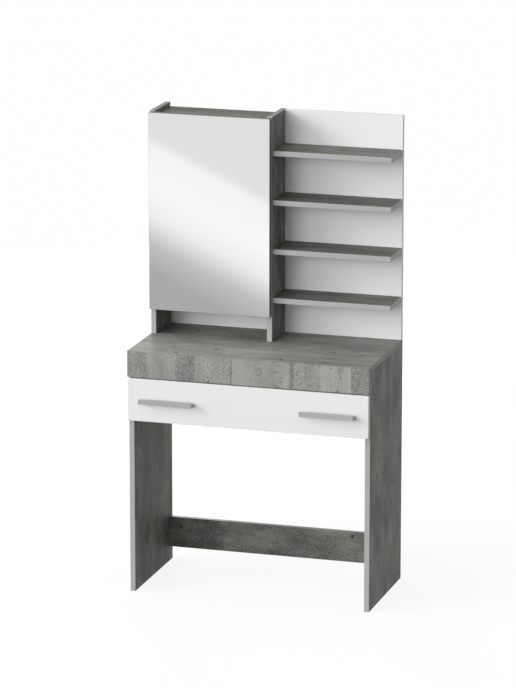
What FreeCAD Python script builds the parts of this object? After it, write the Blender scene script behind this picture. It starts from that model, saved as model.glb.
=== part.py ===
import FreeCAD, Part
import os
import re
import Sketcher

# A flat-pack dressing table: two board legs under a desk top with one wide drawer,
# and a hutch with a mirror-door cabinet on the left and open shelves on the right.
# X runs to the right, Y to the back and Z up, in millimetres.
# The origin lies on the floor under the middle of the whole piece.

# Driving dimensions
SIZES = {
    # Boards and table
    "table_width": 750,
    "board": 16,
    "thin_sheet": 3,
    "desk_height": 756,
    "leg_depth": 364,
    "rear_inset": 20,
    "stretcher_bottom": 50,
    "stretcher_height": 96,
    "apron_height": 180,
    "fascia_height": 81,
    "glide_height": 2,
    "glide_radius": 7,
    "glide_inset": 30,
    "glide_nail_radius": 1.2,
    "glide_nail_length": 14,
    # Hutch
    "hutch_height": 688,
    "hutch_depth": 150,
    "cabinet_top_drop": 14,
    "niche_height": 83,
    "shelf_depth": 130,
    "lowest_shelf": 135,
    "shelf_pitch": 150,
    "inner_shelf_depth": 130,
    "inner_shelf_pitch": 192,
    "inner_shelf_play": 0.5,
    "back_margin": 1,
    "peg_radius": 2.5,
    "peg_length": 16,
    "peg_in_board": 9,
    "peg_inset": 30,
    # Drawer
    "front_gap": 3,
    "drawer_gap": 0.5,
    "drawer_reveal": 1.5,
    "drawer_front_height": 131,
    "drawer_rear_gap": 18.5,
    "drawer_board": 12,
    "drawer_side_height": 96,
    "drawer_lift": 15,
    "bottom_lift": 8,
    "groove_depth": 5,
    "groove_play": 0.2,
    # Handles
    "handle_length": 168,
    "handle_height": 15,
    "handle_projection": 25,
    "handle_bar": 5,
    "handle_foot": 8,
    "handle_foot_height": 8,
    "handle_round": 2,
    "handle_inset": 39.5,
    "handle_screw_radius": 2,
    "handle_screw_grip": 10,
    "handle_screw_head": 2.5,
    "handle_screw_head_radius": 4,
    # Runners
    "runner_space": 12.5,
    "steel": 1.2,
    "rail_reach": 10.5,
    "rail_setback": 8,
    "rail_rear_gap": 20,
    "slide_setback": 4,
    "slide_rear_margin": 5.5,
    "slide_foot": 12,
    "flange_tip": 2.6,
    "front_roller_radius": 7.5,
    "front_roller_inset": 14,
    "rear_roller_radius": 9,
    "rear_roller_margin": 2,
    "roller_gap": 0.3,
    "roller_floor": 0.5,
    "roller_start": 3,
    "roller_width": 6,
    "roller_pin_radius": 2,
    "roller_pin_end": 0.4,
    "roller_pin_head": 0.6,
    "roller_pin_head_radius": 3,
    "running_fit": 0.05,
    "runner_screw_drop": 4.4,
    "runner_screw_inset": 60,
    "slide_screw_length": 8,
    # Mirror door and its hinges
    "door_lift": 80,
    "door_height": 605,
    "door_reveal": 1.5,
    "door_gap": 3,
    "mirror_glass": 3,
    "hinge_inset": 100,
    "pin_inset": 7,
    "pin_depth": 9,
    "hinge_pin_radius": 1.25,
    "hinge_pin_length": 18.6,
    "knuckle_radius": 2.3,
    "arm_thickness": 2.5,
    "arm_width": 8,
    "neck_offset": 10.2,
    "plate_setback": 18,
    "plate_length": 32,
    "plate_height": 44,
    "hinge_screw_spread": 14,
    "cup_radius": 17.5,
    "cup_rim": 3,
    "cup_depth": 13,
    "cup_wall": 1,
    "flange_thickness": 1,
    "flange_width": 16,
    "flange_height": 52,
    "cup_screw_spread": 22,
    "bumper_radius": 4,
    "bumper_height": 2,
    "bumper_inset": 12,
    # Board fittings
    "fit": 0.1,
    "dowel_radius": 4,
    "dowel_length": 30,
    "dowel_in_face": 10,
    "bolt_radius": 3,
    "bolt_thread": 11,
    "bolt_reach": 24,
    "cam_radius": 7.5,
    "cam_depth": 12.5,
    "drawer_cam_depth": 9.5,
    "cover_radius": 8.5,
    "cover_thickness": 0.8,
    "leg_cam_inset": 50,
    "leg_dowel_inset": 90,
    "rail_dowel_inset": 20,
    "fascia_cam_inset": 80,
    "fascia_dowel_inset": 190,
    "hutch_fitting_inset": 32,
    "back_dowel_inset": 75,
    "drawer_cam_drop": 30,
    # Screws and nails
    "screw_radius": 1.75,
    "screw_length": 13,
    "screw_head": 0.8,
    "screw_head_radius": 2.9,
    "long_screw_radius": 2.5,
    "long_screw_length": 50,
    "long_screw_head": 1,
    "long_screw_head_radius": 5,
    "shelf_screw_inset": 60,
    "nail_radius": 0.8,
    "nail_length": 20,
    "nail_head": 0.5,
    "nail_head_radius": 2.5,
    "nail_inset": 40,
}
OPEN_SHELVES = 4
INNER_SHELVES = 2
NAILS_PER_SIDE = 5

doc = FreeCAD.newDocument("dressing_table")
sheet = doc.addObject("Spreadsheet::Sheet", "Sizes")
for row, (alias, value) in enumerate(SIZES.items(), start=1):
    sheet.set(f"A{row}", alias)
    sheet.set(f"B{row}", str(value))
    sheet.setAlias(f"B{row}", alias)
doc.recompute()

# Places worked out from the driving dimensions, as formulas
left_end = "(-table_width / 2)"
right_end = "(table_width / 2)"
inner_left = f"({left_end} + board)"
inner_right = f"({right_end} - board)"
inner_width = "(table_width - 2 * board)"
leg_front = "((board + drawer_gap + handle_projection - leg_depth - thin_sheet - nail_head) / 2)"
leg_back = f"({leg_front} + leg_depth)"
leg_top = "(desk_height - board)"
hutch_front = f"({leg_back} - hutch_depth)"
hutch_top = "(desk_height + hutch_height)"
partition_left = "(-board / 2)"
partition_right = "(board / 2)"
cabinet_inner = "(table_width / 2 - 3 * board / 2)"
half_width = "(table_width / 2 - board / 2)"
cabinet_floor_top = "(desk_height + niche_height + board)"
drawer_plane = f"({leg_front} - drawer_gap)"
drawer_front_bottom = "(desk_height - fascia_height - front_gap - drawer_front_height)"
drawer_base = f"({drawer_front_bottom} + drawer_lift)"
clear_depth = "(leg_depth - rear_inset - board)"
drawer_length = f"({clear_depth} + drawer_gap - drawer_rear_gap)"
rail_length = f"({clear_depth} - rail_setback - rail_rear_gap)"
slide_length = f"({drawer_length} - drawer_gap - slide_setback - slide_rear_margin)"
drawer_left = f"({inner_left} + runner_space)"
drawer_right = f"({inner_right} - runner_space)"
drawer_inner = f"({inner_width} - 2 * runner_space - 2 * drawer_board)"
door_left = f"({left_end} + door_reveal)"
door_width = f"({partition_right} - door_reveal - {door_left})"
door_back = f"({hutch_front} - door_gap)"
door_bottom = "(desk_height + door_lift)"
pin_x = f"({door_left} + pin_inset)"
pin_y = f"({door_back} - pin_depth)"
hinge_heights = [f"({door_bottom} + hinge_inset)", f"({door_bottom} + door_height - hinge_inset)"]

pieces = {}
blanks = {}
bores = {}


# Helpers for sizes and places

def sized(text):
    """A formula with every size name turned into its cell of the sheet."""
    return re.sub(r"[a-z]\w*", lambda word: "Sizes." + word.group(), str(text))


def bind(item, **formulas):
    for name, text in formulas.items():
        item.setExpression(name, sized(text))


def place(item, point, rotation=FreeCAD.Rotation()):
    item.Placement = FreeCAD.Placement(FreeCAD.Vector(), rotation)
    for axis, text in zip("xyz", point):
        item.setExpression(f"Placement.Base.{axis}", sized(text))


def moved(point, along, amount):
    """The point shifted along one axis by a formula."""
    spot = list(point)
    axis = "xyz".index(along)
    spot[axis] = f"{spot[axis]} + ({amount})"
    return tuple(spot)


# Helpers for solids

def box(name, size, corner):
    item = doc.addObject("Part::Box", name)
    bind(item, Length=size[0], Width=size[1], Height=size[2])
    place(item, corner)
    return item


ALONG = {
    "x": FreeCAD.Rotation(FreeCAD.Vector(0, 1, 0), 90),
    "y": FreeCAD.Rotation(FreeCAD.Vector(1, 0, 0), -90),
    "z": FreeCAD.Rotation(),
}


def rod(name, radius, length, start, along):
    """A round bar from start towards the positive end of an axis."""
    item = doc.addObject("Part::Cylinder", name)
    bind(item, Radius=radius, Height=length)
    place(item, start, ALONG[along])
    return item


def fused(name, members):
    item = doc.addObject("Part::MultiFuse", name)
    item.Shapes = members
    return item


def cut(name, base, tools):
    item = doc.addObject("Part::Cut", name)
    item.Base = base
    item.Tool = tools[0] if len(tools) == 1 else fused(name + "_tools", tools)
    return item


def finished(label, item):
    item.Label = label
    pieces[label] = item


def group(label, members):
    item = doc.addObject("Part::Compound", label)
    item.Links = members
    finished(label, item)


def extrusion(name, outline, height):
    """A body padded from a closed outline of formulas, on its own XY plane."""
    body = doc.addObject("PartDesign::Body", name)
    sketch = body.newObject("Sketcher::SketchObject", name + "_outline")
    plane = next(item for item in body.Origin.OriginFeatures if item.Role == "XY_Plane")
    sketch.AttachmentSupport = [(plane, "")]
    sketch.MapMode = "FlatFace"
    doc.recompute()
    corners = []
    for x, y in outline:
        corners.append(FreeCAD.Vector(sheet.evalExpression(x), sheet.evalExpression(y), 0))
    count = len(corners)
    for index in range(count):
        edge = Part.LineSegment(corners[index], corners[(index + 1) % count])
        sketch.addGeometry(edge, False)
    for index in range(count):
        sketch.addConstraint(Sketcher.Constraint("Coincident", index, 2, (index + 1) % count, 1))
    for index, (x, y) in enumerate(outline):
        across = sketch.addConstraint(Sketcher.Constraint("DistanceX", -1, 1, index, 1, corners[index].x))
        sketch.setExpression(f"Constraints[{across}]", sized(x))
        upward = sketch.addConstraint(Sketcher.Constraint("DistanceY", -1, 1, index, 1, corners[index].y))
        sketch.setExpression(f"Constraints[{upward}]", sized(y))
    pad = body.newObject("PartDesign::Pad", name + "_pad")
    pad.Profile = sketch
    pad.setExpression("Length", sized(height))
    doc.recompute()
    return body


# Boards are kept as blanks until every fitting has drilled them

def board(label, size, corner):
    blanks[label] = box(label + "_blank", size, corner)


def bore(tool, *labels):
    for label in labels:
        bores.setdefault(label, []).append(tool)


# Fittings that hold boards together

dowels = []
table_cams = {"thickness": "board", "depth": "cam_depth", "discs": [], "bolts": [], "covers": []}
drawer_cams = {"thickness": "drawer_board", "depth": "drawer_cam_depth", "discs": [], "bolts": []}


def dowel(point, along, sign, face_board, end_board):
    """A dowel across a joint, short in one board's face and long in the other's end."""
    back = "-dowel_in_face" if sign > 0 else "dowel_in_face - dowel_length"
    start = moved(point, along, back)
    dowels.append(rod("dowel", "dowel_radius", "dowel_length", start, along))
    hole_start = moved(start, along, "-fit")
    hole = rod("dowel_hole", "dowel_radius + fit", "dowel_length + 2 * fit", hole_start, along)
    bore(hole, face_board, end_board)


def cam_fitting(kit, point, along, sign, face_along, face_sign, anchor, panel):
    """A bolt in the anchor board, drawn tight by a cam let into a face of the panel, with a cover on show."""
    start = moved(point, along, "-bolt_thread" if sign > 0 else "-bolt_reach")
    kit["bolts"].append(rod("bolt", "bolt_radius", "bolt_thread + bolt_reach", start, along))
    bolt_length = "bolt_thread + bolt_reach + 2 * fit"
    bolt_hole = rod("bolt_hole", "bolt_radius + fit", bolt_length, moved(start, along, "-fit"), along)
    centre = moved(point, along, f"{sign} * bolt_reach")
    depth = kit["depth"]
    face = moved(centre, face_along, f"{face_sign} * {kit['thickness']} / 2")
    disc_start = moved(face, face_along, f"-{depth}") if face_sign > 0 else face
    blank = rod("cam_blank", "cam_radius", depth, disc_start, face_along)
    kit["discs"].append(cut("cam", blank, [bolt_hole]))
    hole_start = moved(face, face_along, f"-{depth} - fit") if face_sign > 0 else face
    cam_hole = rod("cam_hole", "cam_radius + fit", f"{depth} + fit", hole_start, face_along)
    bore(bolt_hole, anchor, panel)
    bore(cam_hole, panel)
    if "covers" in kit:
        cover_start = face if face_sign > 0 else moved(face, face_along, "-cover_thickness")
        kit["covers"].append(rod("cover", "cover_radius", "cover_thickness", cover_start, face_along))


def screw(kind, point, along, sign, length):
    """A screw or nail whose head sits on the surface at point and whose shank goes in along sign."""
    shank_start = point if sign > 0 else moved(point, along, f"-({length})")
    head_start = moved(point, along, f"-{kind}_head") if sign > 0 else point
    shank = rod("shank", f"{kind}_radius", length, shank_start, along)
    head = rod("head", f"{kind}_head_radius", f"{kind}_head", head_start, along)
    return fused(kind, [shank, head])


# Legs, desk top, fascia and the two rails between the legs

leg_size = ("board", "leg_depth", f"{leg_top} - glide_height")
board("left_leg", leg_size, (left_end, leg_front, "glide_height"))
board("right_leg", leg_size, (inner_right, leg_front, "glide_height"))
board("desk_top", ("table_width", "leg_depth", "board"), (left_end, leg_front, leg_top))
fascia_corner = (left_end, f"{leg_front} - board", "desk_height - fascia_height")
board("fascia", ("table_width", "board", "fascia_height"), fascia_corner)
rail_front = f"({leg_back} - rear_inset - board)"
apron_bottom = f"({leg_top} - apron_height)"
board("rear_apron", (inner_width, "board", "apron_height"), (inner_left, rail_front, apron_bottom))
board("stretcher", (inner_width, "board", "stretcher_height"), (inner_left, rail_front, "stretcher_bottom"))

for leg, middle, side in (
    ("left_leg", f"{left_end} + board / 2", 1),
    ("right_leg", f"{right_end} - board / 2", -1),
):
    for y in (f"{leg_front} + leg_cam_inset", f"{leg_back} - leg_cam_inset"):
        cam_fitting(table_cams, (middle, y, leg_top), "z", -1, "x", side, "desk_top", leg)
    for y in (f"{leg_front} + leg_dowel_inset", f"{leg_back} - leg_dowel_inset"):
        dowel((middle, y, leg_top), "z", -1, "desk_top", leg)
    joint = inner_left if side > 0 else inner_right
    rail_middle = f"{rail_front} + board / 2"
    for rail, bottom, height in (
        ("rear_apron", apron_bottom, "apron_height"),
        ("stretcher", "stretcher_bottom", "stretcher_height"),
    ):
        cam_spot = (joint, rail_middle, f"{bottom} + {height} / 2")
        cam_fitting(table_cams, cam_spot, "x", side, "y", 1, leg, rail)
        for z in (f"{bottom} + rail_dowel_inset", f"{bottom} + {height} - rail_dowel_inset"):
            dowel((joint, rail_middle, z), "x", side, leg, rail)

top_middle = f"{leg_top} + board / 2"
for x in (f"{left_end} + fascia_cam_inset", "0", f"{right_end} - fascia_cam_inset"):
    cam_fitting(table_cams, (x, leg_front, top_middle), "y", 1, "z", -1, "fascia", "desk_top")
for x in (f"{left_end} + fascia_dowel_inset", f"{right_end} - fascia_dowel_inset"):
    dowel((x, leg_front, top_middle), "y", 1, "fascia", "desk_top")

# Glides nailed under the legs

glides = []
for x in (f"{left_end} + board / 2", f"{right_end} - board / 2"):
    for y in (f"{leg_front} + glide_inset", f"{leg_back} - glide_inset"):
        foot = rod("glide", "glide_radius", "glide_height", (x, y, "0"), "z")
        nail = rod("glide_nail", "glide_nail_radius", "glide_nail_length", (x, y, "glide_height"), "z")
        glides.append(fused("glide_foot", [foot, nail]))
group("glide_feet", glides)

# Hutch boards

upright_size = ("board", "hutch_depth", "hutch_height")
board("left_upright", upright_size, (left_end, hutch_front, "desk_height"))
board("partition", upright_size, (partition_left, hutch_front, "desk_height"))
deck_size = (cabinet_inner, "hutch_depth", "board")
cabinet_top_bottom = f"({hutch_top} - cabinet_top_drop - board)"
board("cabinet_top", deck_size, (inner_left, hutch_front, cabinet_top_bottom))
board("cabinet_floor", deck_size, (inner_left, hutch_front, "desk_height + niche_height"))
shelf_back_corner = (partition_right, f"{leg_back} - board", "desk_height")
board("shelf_back", (half_width, "board", "hutch_height"), shelf_back_corner)

upright_middle = f"{left_end} + board / 2"
cam_fitting(
    table_cams, (upright_middle, f"{hutch_front} + hutch_depth / 2", "desk_height"),
    "z", 1, "x", 1, "desk_top", "left_upright",
)
front_fitting = f"{hutch_front} + hutch_fitting_inset"
rear_fitting = f"{leg_back} - hutch_fitting_inset"
for y in (front_fitting, rear_fitting):
    dowel((upright_middle, y, "desk_height"), "z", 1, "desk_top", "left_upright")
for deck, z, face_sign in (
    ("cabinet_top", f"{cabinet_top_bottom} + board / 2", -1),
    ("cabinet_floor", "desk_height + niche_height + board / 2", 1),
):
    for joint, side, upright in ((inner_left, 1, "left_upright"), (partition_left, -1, "partition")):
        cam_fitting(table_cams, (joint, front_fitting, z), "x", side, "z", face_sign, upright, deck)
        dowel((joint, rear_fitting, z), "x", side, upright, deck)
for z in ("desk_height + back_dowel_inset", f"{hutch_top} - back_dowel_inset"):
    dowel((partition_right, f"{leg_back} - board / 2", z), "x", 1, "partition", "shelf_back")

# Open shelves, screwed from behind and pegged into the partition

shelf_screws = []
for number in range(1, OPEN_SHELVES + 1):
    label = f"open_shelf_{number}"
    bottom = f"(desk_height + lowest_shelf + {number - 1} * shelf_pitch - board)"
    shelf_front = f"({leg_back} - board - shelf_depth)"
    board(label, (half_width, "shelf_depth", "board"), (partition_right, shelf_front, bottom))
    middle = f"{bottom} + board / 2"
    dowel((partition_right, f"{shelf_front} + shelf_depth / 2", middle), "x", 1, "partition", label)
    for x in (f"{partition_right} + shelf_screw_inset", f"{right_end} - shelf_screw_inset"):
        shelf_screws.append(screw("long_screw", (x, leg_back, middle), "y", -1, "long_screw_length"))
group("shelf_screws", shelf_screws)

# Screws up through the desk top into the partition and the shelf back

hutch_screws = []
for y in (front_fitting, f"{hutch_front} + hutch_depth / 2"):
    hutch_screws.append(screw("long_screw", ("0", y, leg_top), "z", 1, "long_screw_length"))
for x in (f"{partition_right} + shelf_screw_inset", f"{right_end} - shelf_screw_inset"):
    spot = (x, f"{leg_back} - board / 2", leg_top)
    hutch_screws.append(screw("long_screw", spot, "z", 1, "long_screw_length"))
group("hutch_screws", hutch_screws)

# Thin back of the cabinet and the niche, nailed on from behind

back_left = f"({left_end} + back_margin)"
back_width = f"({partition_right} - back_margin - {back_left})"
back_bottom = f"({leg_top} + back_margin)"
back_height = f"({hutch_top} - cabinet_top_drop - {back_bottom})"
board("cabinet_back", (back_width, "thin_sheet", back_height), (back_left, leg_back, back_bottom))
nails = []
back_face = f"{leg_back} + thin_sheet"
nail_run = f"({back_height} - 2 * nail_inset)"
for x in (f"{left_end} + board / 2", "0"):
    for step in range(NAILS_PER_SIDE):
        z = f"{back_bottom} + nail_inset + {nail_run} * {step} / {NAILS_PER_SIDE - 1}"
        nails.append(screw("nail", (x, back_face, z), "y", -1, "nail_length"))
for z in (top_middle, f"{cabinet_top_bottom} + board / 2"):
    nails.append(screw("nail", (f"{left_end} / 2", back_face, z), "y", -1, "nail_length"))
group("back_nails", nails)

# Loose shelves inside the cabinet, lying on pegs

pegs = []
for number in range(1, INNER_SHELVES + 1):
    label = f"inner_shelf_{number}"
    bottom = f"({cabinet_floor_top} + {number} * inner_shelf_pitch - board)"
    shelf_front = f"({leg_back} - inner_shelf_depth)"
    size = (f"{cabinet_inner} - 2 * inner_shelf_play", "inner_shelf_depth", "board")
    board(label, size, (f"{inner_left} + inner_shelf_play", shelf_front, bottom))
    for y in (f"{shelf_front} + peg_inset", f"{leg_back} - peg_inset"):
        z = f"{bottom} - peg_radius"
        for upright, x in (
            ("left_upright", f"{inner_left} - peg_in_board"),
            ("partition", f"{partition_left} + peg_in_board - peg_length"),
        ):
            pegs.append(rod("peg", "peg_radius", "peg_length", (x, y, z), "x"))
            hole_start = (f"{x} - fit", y, z)
            bore(rod("peg_hole", "peg_radius + fit", "peg_length + 2 * fit", hole_start, "x"), upright)
group("shelf_pegs", pegs)

# Drawer box with a bottom that slides into grooves

front_size = ("table_width - 2 * drawer_reveal", "board", "drawer_front_height")
front_corner = (f"{left_end} + drawer_reveal", f"{drawer_plane} - board", drawer_front_bottom)
board("drawer_front", front_size, front_corner)
side_size = ("drawer_board", drawer_length, "drawer_side_height")
board("drawer_left_side", side_size, (drawer_left, drawer_plane, drawer_base))
board("drawer_right_side", side_size, (f"{drawer_right} - drawer_board", drawer_plane, drawer_base))
drawer_rear = f"({drawer_plane} + {drawer_length})"
bottom_base = f"({drawer_base} + bottom_lift)"
above_bottom = f"({bottom_base} + thin_sheet + groove_play)"
back_size = (drawer_inner, "drawer_board", f"{drawer_base} + drawer_side_height - {above_bottom}")
back_corner = (f"{drawer_left} + drawer_board", f"{drawer_rear} - drawer_board", above_bottom)
board("drawer_back", back_size, back_corner)
bottom_size = (
    f"{drawer_inner} + 2 * groove_depth - 2 * groove_play",
    f"{drawer_length} + groove_depth - groove_play",
    "thin_sheet",
)
bottom_left = f"({drawer_left} + drawer_board - groove_depth + groove_play)"
bottom_front = f"({drawer_plane} - groove_depth + groove_play)"
board("drawer_bottom", bottom_size, (bottom_left, bottom_front, bottom_base))
groove_size = (
    f"{drawer_inner} + 2 * groove_depth",
    f"{drawer_length} + groove_depth",
    "thin_sheet + 2 * groove_play",
)
groove_corner = (
    f"{drawer_left} + drawer_board - groove_depth",
    f"{drawer_plane} - groove_depth",
    f"{bottom_base} - groove_play",
)
groove = box("bottom_groove", groove_size, groove_corner)
bore(groove, "drawer_front", "drawer_left_side", "drawer_right_side")

drawer_screws = []
for side_label, middle, outer, inward in (
    ("drawer_left_side", f"{drawer_left} + drawer_board / 2", drawer_left, 1),
    ("drawer_right_side", f"{drawer_right} - drawer_board / 2", drawer_right, -1),
):
    cam_height = f"{drawer_base} + drawer_side_height - drawer_cam_drop"
    cam_spot = (middle, drawer_plane, cam_height)
    cam_fitting(drawer_cams, cam_spot, "y", 1, "x", -inward, "drawer_front", side_label)
    for z in (f"{above_bottom} + drawer_cam_drop", cam_height):
        spot = (outer, f"{drawer_rear} - drawer_board / 2", z)
        drawer_screws.append(screw("long_screw", spot, "x", inward, "long_screw_length"))
group("drawer_screws", drawer_screws)

# Bow handles on the drawer front

handle_outline = [
    ("0", "handle_projection"),
    ("0", "0"),
    ("handle_length", "0"),
    ("handle_length", "handle_projection"),
    ("handle_length - handle_foot", "handle_projection"),
    ("handle_length - handle_foot", "handle_bar"),
    ("handle_foot", "handle_bar"),
    ("handle_foot", "handle_projection"),
]
front_face = f"({drawer_plane} - board)"
handle_bottom = f"({drawer_front_bottom} + drawer_front_height / 2 - handle_height / 2)"
foot_middle = f"({handle_bottom} + handle_foot_height / 2)"
handle_reach = "(handle_length / 2 - handle_foot / 2)"
foot_relief = ("handle_length", "handle_projection - handle_bar", "handle_height - handle_foot_height")
handle_screws = []
handle_offset = "(table_width / 2 - drawer_reveal - handle_inset - handle_length / 2)"
for side, centre in (("left", f"(-{handle_offset})"), ("right", handle_offset)):
    body = extrusion(f"{side}_handle_body", handle_outline, "handle_height")
    corners = []
    for index, edge in enumerate(body.Shape.Edges, start=1):
        ends = [vertex.Point for vertex in edge.Vertexes]
        if abs(ends[0].y) < 1e-6 and abs(ends[1].y) < 1e-6 and abs(ends[0].z - ends[1].z) > 1e-6:
            corners.append(f"Edge{index}")
    pad = body.Tip
    rounding = body.newObject("PartDesign::Fillet", f"{side}_handle_round")
    rounding.Base = (pad, corners)
    bind(rounding, Radius="handle_round")
    body.Tip = rounding
    handle_left = f"{centre} - handle_length / 2"
    handle_front = f"{front_face} - handle_projection"
    place(body, (handle_left, handle_front, handle_bottom))
    relief_corner = (handle_left, f"{handle_front} + handle_bar", f"{handle_bottom} + handle_foot_height")
    relief = box("foot_relief", foot_relief, relief_corner)
    sockets = []
    for x in (f"{centre} - {handle_reach}", f"{centre} + {handle_reach}"):
        spot = (x, drawer_plane, foot_middle)
        handle_screws.append(screw("handle_screw", spot, "y", -1, "board + handle_screw_grip"))
        hole_start = moved(spot, "y", "-board - handle_screw_grip - fit")
        hole_length = "board + handle_screw_grip + fit"
        socket = rod("handle_hole", "handle_screw_radius + fit", hole_length, hole_start, "y")
        sockets.append(socket)
        bore(socket, "drawer_front")
    finished(f"{side}_handle", cut(f"{side}_handle", body, [relief] + sockets))
group("handle_screws", handle_screws)

# Roller runners: a channel on each leg, a flanged slide under each drawer side

rail_height = "(2 * steel + 2 * roller_gap + 2 * rear_roller_radius)"
rail_outline = [
    ("0", "0"),
    ("rail_reach", "0"),
    ("rail_reach", "steel"),
    ("steel", "steel"),
    ("steel", f"{rail_height} - steel"),
    ("rail_reach", f"{rail_height} - steel"),
    ("rail_reach", rail_height),
    ("0", rail_height),
]
front_roller_centre = "(steel + roller_floor + front_roller_radius)"
rear_roller_centre = "(steel + roller_gap + rear_roller_radius)"
flange_underside = f"({front_roller_centre} + front_roller_radius + roller_gap)"
slide_web = "(runner_space - flange_tip)"
slide_height = f"({flange_underside} + 2 * steel)"
slide_outline = [
    ("0", f"{slide_height} - steel"),
    (f"{slide_web} - steel", f"{slide_height} - steel"),
    (f"{slide_web} - steel", "0"),
    (f"{slide_web} + slide_foot", "0"),
    (f"{slide_web} + slide_foot", "steel"),
    (slide_web, "steel"),
    (slide_web, slide_height),
    ("0", slide_height),
]
rail_start = f"({leg_front} + rail_setback)"
slide_start = f"({leg_front} + slide_setback)"
slide_end = f"({slide_start} + {slide_length})"
roller_bay = "(2 * rear_roller_radius + 2 * rear_roller_margin)"
front_roller_y = f"{rail_start} + front_roller_inset"
rear_roller_y = f"{slide_end} - rear_roller_radius - rear_roller_margin"
UP = FreeCAD.Vector(0, 0, 1)
LEFT_TURN = FreeCAD.Rotation(FreeCAD.Vector(1, 0, 0), UP, FreeCAD.Vector(0, -1, 0), "XYZ")
RIGHT_TURN = FreeCAD.Rotation(FreeCAD.Vector(-1, 0, 0), UP, FreeCAD.Vector(0, 1, 0), "XYZ")


def from_leg(side, start, length):
    """The lower X of something that starts a distance in from a leg's inner face."""
    if side == "left":
        return f"({inner_left} + {start})"
    return f"({inner_right} - ({start}) - ({length}))"


def along_runner(body, side, offset, lift, start, length):
    """Lay a profile along the runner, mirrored on the right-hand side."""
    if side == "left":
        place(body, (f"{inner_left} + {offset}", f"{start} + {length}", f"{drawer_base} + {lift}"), LEFT_TURN)
    else:
        place(body, (f"{inner_right} - {offset}", start, f"{drawer_base} + {lift}"), RIGHT_TURN)


def roller(side, end, radius, y, z):
    spot = (from_leg(side, "roller_start", "roller_width"), y, z)
    rim = rod("roller_rim", radius, "roller_width", spot, "x")
    hole = rod("roller_bore", "roller_pin_radius + running_fit", "roller_width", spot, "x")
    finished(f"{side}_{end}_roller", cut(f"{side}_{end}_roller", rim, [hole]))


def roller_pin(side, start, end, head_start, y, z):
    """A pin between its rail and just past the roller, with a thin head at its free end."""
    length = f"({end} - {start})"
    shank = rod("roller_shank", "roller_pin_radius", length, (from_leg(side, start, length), y, z), "x")
    head_spot = (from_leg(side, head_start, "roller_pin_head"), y, z)
    head = rod("roller_head", "roller_pin_head_radius", "roller_pin_head", head_spot, "x")
    return fused("roller_pin", [shank, head])


front_pins = []
rear_pins = []
runner_screws = []
slide_screws = []
pin_far = "(roller_start + roller_width + roller_pin_end)"
pin_near = "(roller_start - roller_pin_end)"
for side in ("left", "right"):
    rail = extrusion(f"{side}_runner_rail", rail_outline, rail_length)
    along_runner(rail, side, "0", "0", rail_start, rail_length)
    finished(f"{side}_runner_rail", rail)
    slide = extrusion(f"{side}_slide_body", slide_outline, slide_length)
    along_runner(slide, side, "flange_tip", "-steel", slide_start, slide_length)
    bay_width = f"{slide_web} - steel"
    bay_corner = (
        from_leg(side, "flange_tip", bay_width),
        f"{slide_end} - {roller_bay}",
        f"{drawer_base} + {flange_underside}",
    )
    bay = box("roller_bay", (bay_width, roller_bay, "steel"), bay_corner)
    finished(f"{side}_drawer_slide", cut(f"{side}_drawer_slide", slide, [bay]))
    front_z = f"{drawer_base} + {front_roller_centre}"
    rear_z = f"{drawer_base} + {rear_roller_centre}"
    roller(side, "front", "front_roller_radius", front_roller_y, front_z)
    roller(side, "rear", "rear_roller_radius", rear_roller_y, rear_z)
    front_pins.append(roller_pin(side, "steel", pin_far, pin_far, front_roller_y, front_z))
    rear_root = "(runner_space - steel)"
    rear_head = f"({pin_near} - roller_pin_head)"
    rear_pins.append(roller_pin(side, pin_near, rear_root, rear_head, rear_roller_y, rear_z))
    outward = -1 if side == "left" else 1
    screw_z = f"{drawer_base} + {rail_height} - runner_screw_drop"
    for y in (f"{rail_start} + runner_screw_inset", f"{rail_start} + {rail_length} - runner_screw_inset"):
        spot = (from_leg(side, "steel", "0"), y, screw_z)
        runner_screws.append(screw("screw", spot, "x", outward, "screw_length"))
    for y in (f"{slide_start} + runner_screw_inset", f"{slide_end} - runner_screw_inset"):
        spot = (from_leg(side, "runner_space + slide_foot / 2", "0"), y, f"{drawer_base} - steel")
        slide_screws.append(screw("screw", spot, "z", 1, "slide_screw_length"))
group("front_roller_pins", front_pins)
group("rear_roller_pins", rear_pins)
group("runner_screws", runner_screws)
group("slide_screws", slide_screws)

# Mirror door: a board with a mirror glued over its whole front

board("door_board", (door_width, "board", "door_height"), (door_left, f"{door_back} - board", door_bottom))
glass_corner = (door_left, f"{door_back} - board - mirror_glass", door_bottom)
finished("mirror_glass", box("mirror_glass", (door_width, "mirror_glass", "door_height"), glass_corner))

# Concealed hinges, each with a cup in the door, a cranked arm and a plate on the upright

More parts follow.
